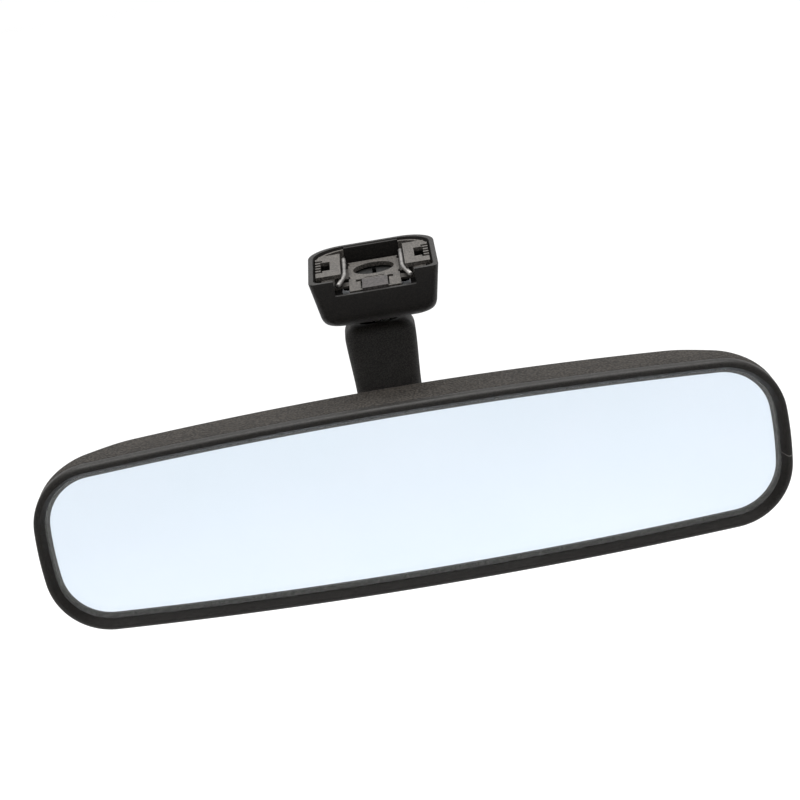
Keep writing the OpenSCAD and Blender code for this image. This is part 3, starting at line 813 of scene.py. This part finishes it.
def waxy(name, low, high):
    """Acetal: smooth and slightly see-through."""
    mat, tree, shader = start_material(name)
    where = place(tree)
    tree.links.new(colour_range(tree, noise(tree, where, 120, 3), low, high), shader.inputs["Base Color"])
    tree.links.new(number_range(tree, noise(tree, where, 700, 2), 0.28, 0.42), shader.inputs["Roughness"])
    shader.inputs["Subsurface Weight"].default_value = 0.25
    shader.inputs["Subsurface Radius"].default_value = (0.003, 0.003, 0.002)
    shader.inputs["Subsurface Scale"].default_value = 1.0
    relief(tree, shader, noise(tree, where, 2600, 2), 0.000008)
    return mat


def cast_metal():
    """Zinc casting: grey skin with a fine pitted surface."""
    mat, tree, shader = start_material("cast_zinc")
    where = place(tree)
    patches = noise(tree, where, 200, 4)
    shader.inputs["Metallic"].default_value = 0.85
    low, high = (0.36, 0.37, 0.38), (0.50, 0.51, 0.53)
    tree.links.new(colour_range(tree, patches, low, high), shader.inputs["Base Color"])
    tree.links.new(number_range(tree, patches, 0.42, 0.6), shader.inputs["Roughness"])
    relief(tree, shader, noise(tree, where, 3000, 3), 0.00003)
    return mat


def foam_pad():
    mat, tree, shader = start_material("pad_foam")
    where = place(tree)
    shades = colour_range(tree, noise(tree, where, 400, 3), (0.02,) * 3, (0.04,) * 3)
    tree.links.new(shades, shader.inputs["Base Color"])
    tree.links.new(number_range(tree, noise(tree, where, 900, 2), 0.8, 0.95), shader.inputs["Roughness"])
    relief(tree, shader, cells(tree, where, 2500), 0.00006)
    return mat


GRAIN = plastic(
    "grained_plastic", (0.020, 0.0168, 0.0138), (0.027, 0.0230, 0.0190),
    (0.5, 0.62), 1250, 0.00026, 0.08,
)
GRAIN_BASE = plastic(
    "base_plastic", (0.0062, 0.0051, 0.0042), (0.0085, 0.0070, 0.0058),
    (0.45, 0.55), 2200, 0.00005, 0.16,
)
GRAIN_ARM = plastic(
    "arm_plastic", (0.040, 0.0365, 0.033), (0.047, 0.043, 0.039),
    (0.42, 0.5), 2800, 0.00003, 0.3,
)
TRIM = plastic(
    "trim_plastic", (0.013, 0.0115, 0.010), (0.017, 0.0155, 0.014),
    (0.42, 0.52), 2600, 0.000006, 0.12,
)
# painted highlight: the raised joint line is real, but its light grey, far above the trim's own colour,
# stands in for light catching its edges
JOINT_PAINTED_HIGHLIGHT = plastic(
    "joint_painted_highlight", (0.16, 0.155, 0.145), (0.2, 0.195, 0.185),
    (0.5, 0.6), 2600, 0.000006, 0.3,
)
BORDER_DARK = plastic(
    "border_dark", (0.012, 0.013, 0.010), (0.018, 0.019, 0.015),
    (0.4, 0.5), 900, 0.000004, 0.3,
)
# painted reflection: the outer border band's lighter greenish colour stands in for light shown in the glass's
# edge beside the lip
BORDER_PAINTED_REFLECTION = plastic(
    "border_painted_reflection", (0.050, 0.056, 0.045), (0.075, 0.082, 0.068),
    (0.4, 0.5), 900, 0.000004, 0.3,
)
INSERT = plastic(
    "insert_plastic", (0.056, 0.050, 0.044), (0.072, 0.065, 0.058),
    (0.5, 0.65), 1900, 0.00002, 0.2,
)
TONGUE = plastic(
    "tongue_plastic", (0.036, 0.031, 0.030), (0.048, 0.042, 0.041),
    (0.45, 0.6), 1900, 0.00002, 0.2,
)
CARRIER = plastic(
    "carrier_plastic", (0.05, 0.05, 0.05), (0.07, 0.07, 0.07),
    (0.5, 0.65), 1900, 0.00003,
)
GLASS = clear_glass()
SILVER = silver()
STEEL = metal("zinc_plated_steel", (0.50, 0.50, 0.49), (0.68, 0.68, 0.67), (0.22, 0.36))
WIRE_STEEL = metal("wire_steel", (0.15, 0.145, 0.14), (0.24, 0.23, 0.22), (0.38, 0.52))
SPRING_STEEL = plastic(
    "phosphated_steel", (0.008, 0.008, 0.0075), (0.014, 0.014, 0.013),
    (0.5, 0.65), 3000, 0.00001, 0.1,
)
BLACK_STEEL = metal("black_zinc_steel", (0.05, 0.05, 0.05), (0.09, 0.09, 0.09), (0.3, 0.45))
ACETAL = waxy("natural_acetal", (0.74, 0.71, 0.64), (0.82, 0.80, 0.74))
DARK_ACETAL = waxy("black_acetal", (0.014, 0.014, 0.013), (0.022, 0.022, 0.020))
ZINC = cast_metal()
FOAM = foam_pad()


# ---- pieces ----


def add_piece(piece, body, mat):
    """Gives a piece its material and lets it ride on a body."""
    piece.data.materials.clear()
    piece.data.materials.append(mat)
    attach(piece, body)


def finish_piece(piece, body, node, mat):
    """The same for a piece that takes the place of a CAD node."""
    add_piece(piece, body, mat)
    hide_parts(node)


def dress(node, mat):
    """Puts a better material in every slot of a CAD node."""
    mesh = nodes[node].data
    if not mesh.materials:
        mesh.materials.append(mat)
    for i in range(len(mesh.materials)):
        mesh.materials[i] = mat


finish_piece(head_housing(), "head", "head_housing", GRAIN)
finish_piece(bezel_trim(), "head", "bezel_trim", TRIM)
finish_piece(glass_plate(), "head", "mirror_glass", GLASS)
finish_piece(silver_plate(), "head", "silver_coating", SILVER)
inner_band = border_band("border_inner", BAND_MIDDLE, SILVER_INSET - BAND_GAP)
# the outer band's lighter colour is painted reflection of light in the glass's edge
outer_band_painted_reflection = border_band("border_outer", BAND_OUTER, BAND_MIDDLE - BAND_GAP)
add_piece(inner_band, "head", BORDER_DARK)
add_piece(outer_band_painted_reflection, "head", BORDER_PAINTED_REFLECTION)
# the joint line's shape is real; its light colour is painted highlight
add_piece(trim_joint(), "head", JOINT_PAINTED_HIGHLIGHT)
finish_piece(arm_cover(-1, "front_cover_smooth"), "arm", "arm_front_cover", GRAIN_ARM)
finish_piece(arm_cover(1, "rear_cover_smooth"), "arm", "arm_rear_cover", GRAIN_ARM)
finish_piece(base_cover(), "base", "base_cover", GRAIN_BASE)
finish_piece(bent_wire(), "base", "retaining_wire", WIRE_STEEL)
insert = softened_copy("base_insert", "insert_smooth", width=0.16)
tongue = softened_copy("latch_tongue", "tongue_smooth", width=0.12)
finish_piece(insert, "base", "base_insert", INSERT)
finish_piece(tongue, "base", "latch_tongue", TONGUE)

DRESSES = {
    "backing_pad": FOAM,
    "glass_carrier": CARRIER,
    "housing_collar": TRIM,
    "arm_cover_screws": BLACK_STEEL,
    "spring_washer": SPRING_STEEL,
    "base_socket_screws": SPRING_STEEL,
    "base_socket": ZINC,
    "arm_core": ZINC,
    "head_socket": ZINC,
    "spring_cap": ZINC,
    "base_pressure_cup": DARK_ACETAL,
    "base_ball_liner": ACETAL,
    "head_ball_liner": ACETAL,
    "head_pressure_cup": ACETAL,
}
for node_name in nodes:
    if not nodes[node_name].hide_render:
        dress(node_name, DRESSES.get(node_name, STEEL))


# ---- studio ----


def studio_floor():
    """Pale floor far below the mirror."""
    size = FLOOR_SIZE
    verts = [(-size, -size, 0), (size, -size, 0), (size, size, 0), (-size, size, 0)]
    mesh = bpy.data.meshes.new("studio_floor")
    mesh.from_pydata(verts, [], [(0, 1, 2, 3)])
    floor = bpy.data.objects.new("studio_floor", mesh)
    bpy.context.scene.collection.objects.link(floor)
    floor.location = (0, 0, -FLOOR_DEPTH)
    mat, tree, shader = start_material("floor_paint")
    where = place(tree)
    shades = colour_range(tree, noise(tree, where, 3, 2), (0.97,) * 3, (0.99,) * 3)
    tree.links.new(shades, shader.inputs["Base Color"])
    tree.links.new(number_range(tree, noise(tree, where, 40, 2), 0.85, 0.95), shader.inputs["Roughness"])
    shader.inputs["Specular IOR Level"].default_value = 0.1
    mesh.materials.append(mat)


def area_light(name, at, target, size, power):
    data = bpy.data.lights.new(name, "AREA")
    data.shape = "RECTANGLE"
    data.size = size[0]
    data.size_y = size[1]
    data.energy = power
    made = bpy.data.objects.new(name, data)
    bpy.context.scene.collection.objects.link(made)
    made.location = at
    made.rotation_euler = (Vector(target) - Vector(at)).to_track_quat("-Z", "Y").to_euler()


def studio_light():
    world = bpy.data.worlds.new("studio")
    world.use_nodes = True
    world.node_tree.nodes["Background"].inputs["Color"].default_value = (1.0, 1.0, 1.0, 1)
    world.node_tree.nodes["Background"].inputs["Strength"].default_value = WORLD_STRENGTH
    bpy.context.scene.world = world
    area_light("overhead_box", (0.0, 0.15, 0.75), (0, -0.02, -0.03), (1.0, 0.7), LAMP_POWER)


def camera():
    """Camera fitted to the photo, turned about its own axis."""
    az = radians(CAMERA_AZIMUTH)
    el = radians(CAMERA_ELEVATION)
    roll = radians(CAMERA_ROLL)
    back = Vector((sin(az) * cos(el), -cos(az) * cos(el), sin(el)))
    right = (-back).cross(Vector((0, 0, 1))).normalized()
    up = right.cross(-back)
    turned_right = right * cos(roll) + up * sin(roll)
    turned_up = -right * sin(roll) + up * cos(roll)
    data = bpy.data.cameras.new("camera")
    data.sensor_width = 36
    data.lens = CAMERA_LENS
    data.clip_start = 0.01
    data.clip_end = 50
    made = bpy.data.objects.new("camera", data)
    bpy.context.scene.collection.objects.link(made)
    axes = Matrix((turned_right, turned_up, back)).transposed().to_4x4()
    axes.translation = CAMERA_TARGET + back * CAMERA_DISTANCE
    made.matrix_world = axes
    bpy.context.scene.camera = made


studio_floor()
studio_light()
camera()
bpy.context.scene.view_settings.view_transform = "Standard"
